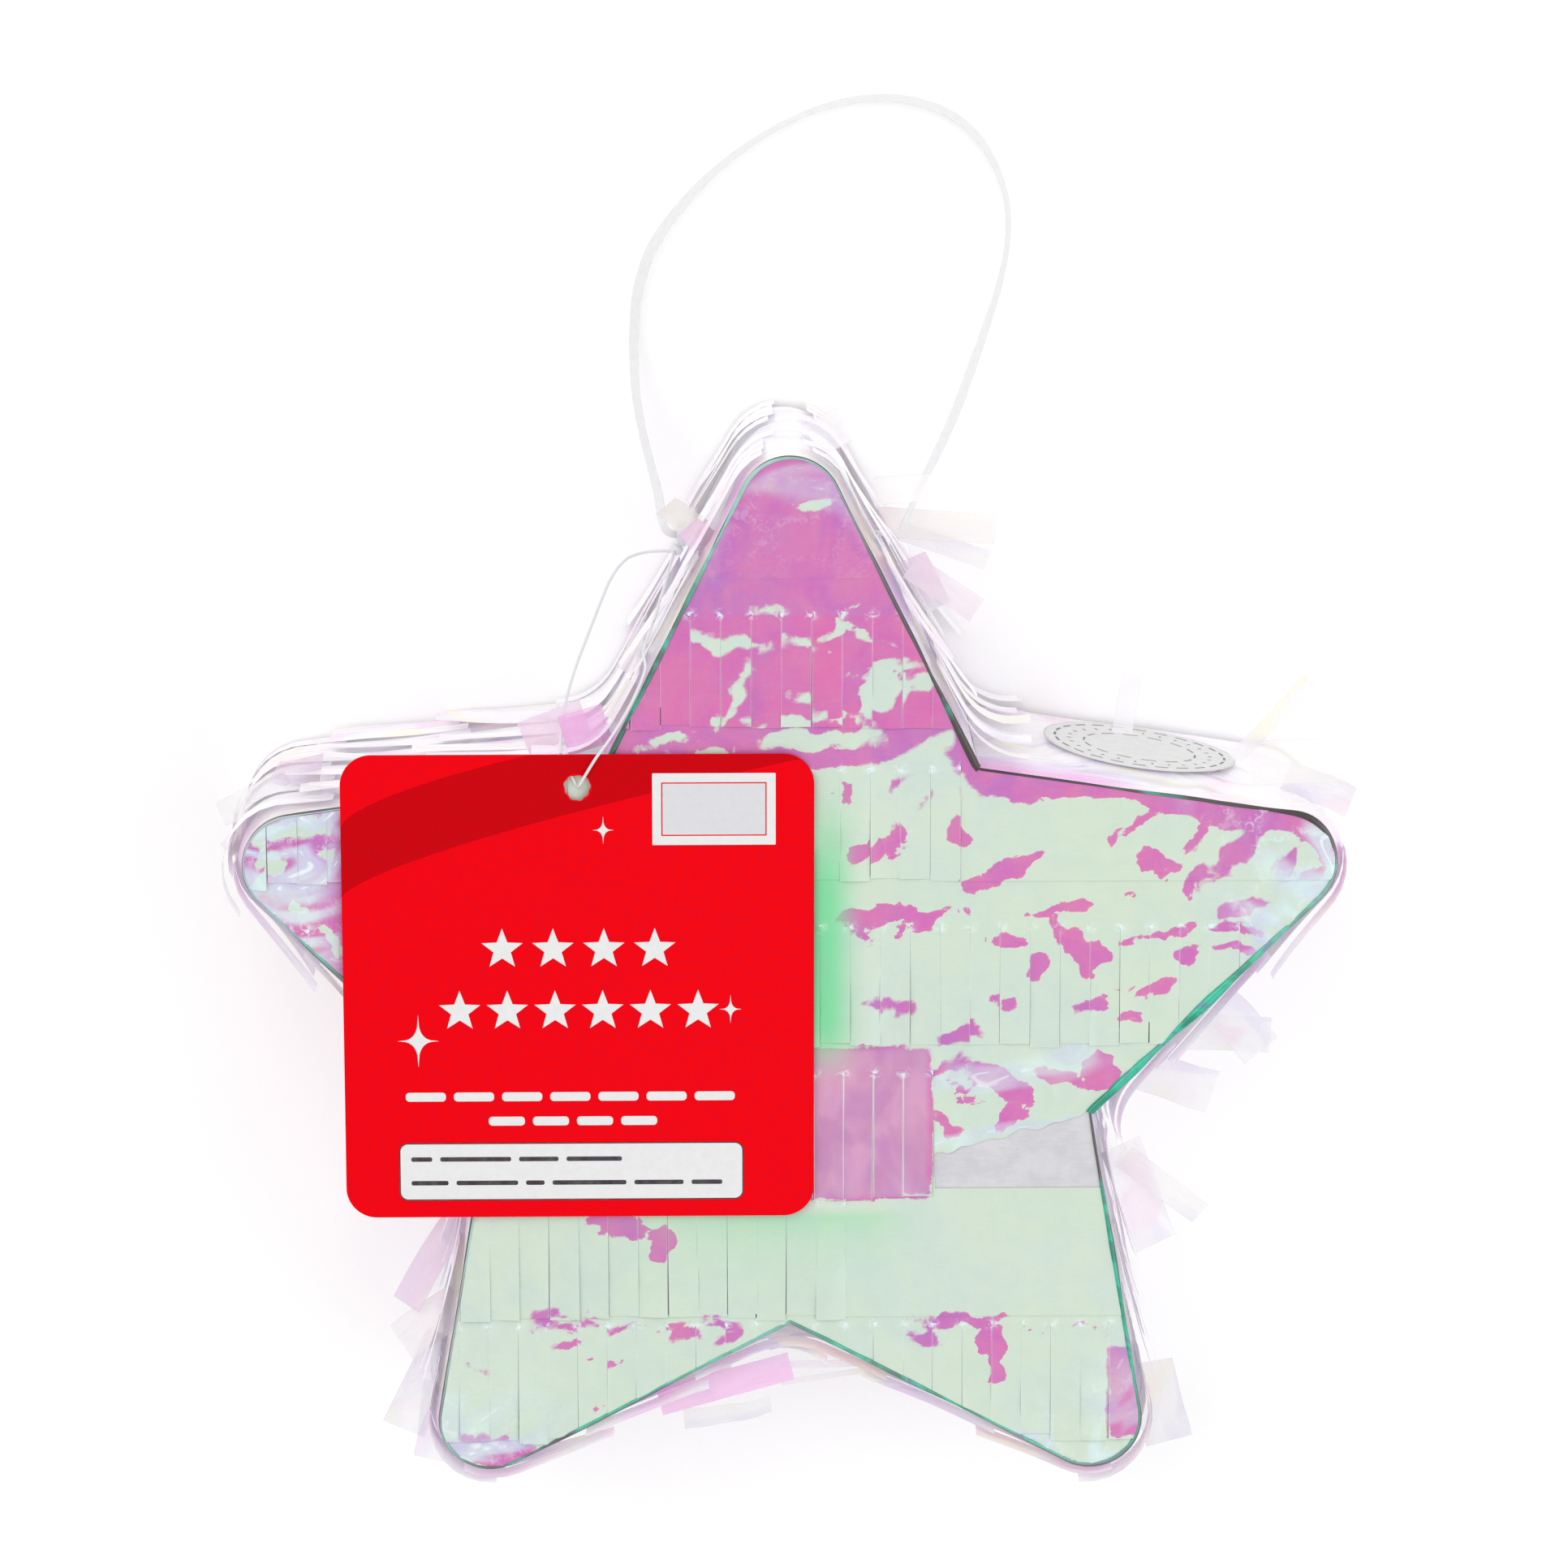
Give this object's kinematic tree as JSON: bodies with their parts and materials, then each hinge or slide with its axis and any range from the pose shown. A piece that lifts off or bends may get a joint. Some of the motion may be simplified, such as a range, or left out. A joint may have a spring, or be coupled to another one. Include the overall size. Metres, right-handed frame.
{
  "type": "hanging star pinata",
  "caption": "Small hollow star-shaped party pinata of card in iridescent film fringe, with ribbon loop, hang tag and filling flap.",
  "frame": {"origin": "middle of the dressed star's outline on the surface that its back lies on", "axes": "+Z out of the front face, +Y towards the top point that the ribbon hangs from, +X towards the point with the filling flap"},
  "size_m": [0.1796, 0.2232, 0.052],
  "materials": {
    "grey_card": "matte grey-white recycled card",
    "gummed_tape": "matte brown paper tape",
    "face_film": "glossy iridescent film, mint with magenta patches",
    "fringe_film": "glossy near-clear iridescent film fringe",
    "sticker_paper": "matte white paper",
    "satin_ribbon": "white satin ribbon",
    "clear_thread": "white plastic thread",
    "printed_card": "coated card printed red with white shapes"
  },
  "bodies": {
    "star_body": {"front_panel": "grey_card", "back_panel": "grey_card", "wall_1": "grey_card", "wall_2": "grey_card", "wall_3": "grey_card", "wall_4": "grey_card", "wall_5": "grey_card", "corner_tape_1": "gummed_tape", "corner_tape_2": "gummed_tape", "corner_tape_3": "gummed_tape", "corner_tape_4": "gummed_tape", "corner_tape_5": "gummed_tape", "front_film_1": "face_film", "front_film_2": "face_film", "front_film_3": "face_film", "front_film_4": "face_film", "front_film_5": "face_film", "front_film_6": "face_film", "front_film_7": "face_film", "back_film_1": "face_film", "back_film_2": "face_film", "back_film_3": "face_film", "back_film_4": "face_film", "back_film_5": "face_film", "back_film_6": "face_film", "back_film_7": "face_film", "edge_fringe_1": "fringe_film", "edge_fringe_2": "fringe_film", "edge_fringe_3": "fringe_film", "edge_fringe_4": "fringe_film", "edge_fringe_5": "fringe_film", "edge_fringe_6": "fringe_film", "edge_fringe_7": "fringe_film", "edge_fringe_8": "fringe_film", "edge_fringe_9": "fringe_film", "edge_fringe_10": "fringe_film", "tip_fringe_1": "fringe_film", "tip_fringe_2": "fringe_film", "tip_fringe_3": "fringe_film", "tip_fringe_4": "fringe_film", "tip_fringe_5": "fringe_film", "thread_hitch": "clear_thread", "tag_thread": "clear_thread"},
    "filling_flap": {"fill_flap": "grey_card", "fill_film": "fringe_film", "fill_sticker": "sticker_paper"},
    "ribbon": {"hanging_ribbon": "satin_ribbon", "ribbon_knot_left": "satin_ribbon", "ribbon_knot_right": "satin_ribbon"},
    "tag": {"hang_tag": "printed_card"}
  },
  "joints": [
    {"name": "ribbon_swing", "type": "hinge", "parent": "star_body", "child": "ribbon", "pos_m": [0, 0.0675, 0.025], "axis": [1, 0, 0], "range_deg": [0, 150]},
    {"name": "tag_swing", "type": "hinge", "parent": "star_body", "child": "tag", "pos_m": [-0.0342, 0.0309, 0.0509], "axis": [0, 0, 1], "range_deg": [-60, 45]},
    {"name": "flap_hinge", "type": "hinge", "parent": "star_body", "child": "filling_flap", "pos_m": [0.07413, 0.02905, 0.025], "axis": [0, 0, -1], "range_deg": [0, 110]}
  ]
}
